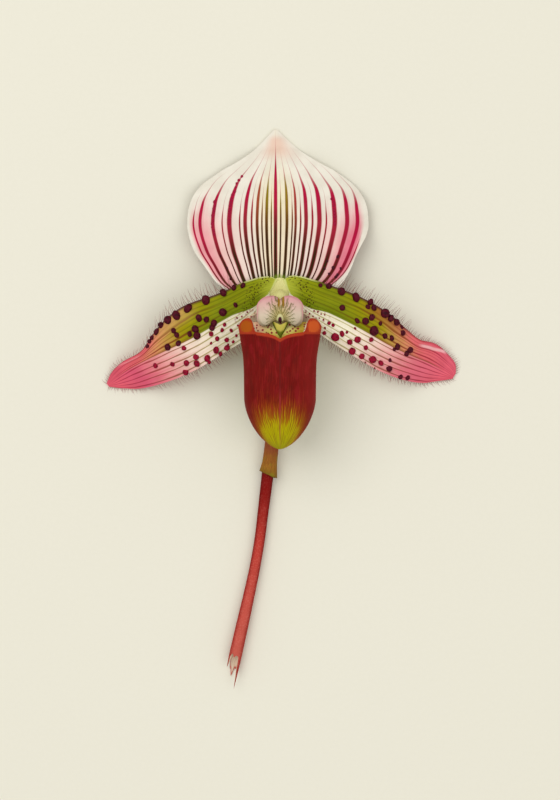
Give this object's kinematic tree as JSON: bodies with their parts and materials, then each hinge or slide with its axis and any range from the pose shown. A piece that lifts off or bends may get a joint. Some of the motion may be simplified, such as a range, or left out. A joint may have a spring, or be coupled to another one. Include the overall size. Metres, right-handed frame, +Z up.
{
  "type": "cypripedium orchid flower",
  "caption": "Slipper orchid flower with warted petals, veined dorsal sepal and hollow pouch, on a cut stem lying face up.",
  "frame": {"origin": "on the resting surface, below the middle of the flower and stem's outline seen from above", "axes": "+Y from the cut end of the stem to the tip of the dorsal sepal, +X to the viewer's right, +Z up, out of the face of the flower"},
  "size_m": [0.0996, 0.1598, 0.0303],
  "materials": {
    "dorsal_sepal": "satin",
    "synsepal": "satin",
    "petals": "satin",
    "lip": "satin",
    "column": "satin",
    "staminode": "satin",
    "anthers": "satin",
    "ovary": "matte",
    "bract": "matte",
    "scape": "matte"
  },
  "bodies": {
    "root": {"dorsal_sepal": "dorsal_sepal", "synsepal": "synsepal", "petal_left": "petals", "petal_right": "petals", "lip": "lip", "column": "column", "staminode": "staminode", "anther_left": "anthers", "anther_right": "anthers", "ovary": "ovary", "bract": "bract", "scape": "scape"}
  },
  "joints": []
}
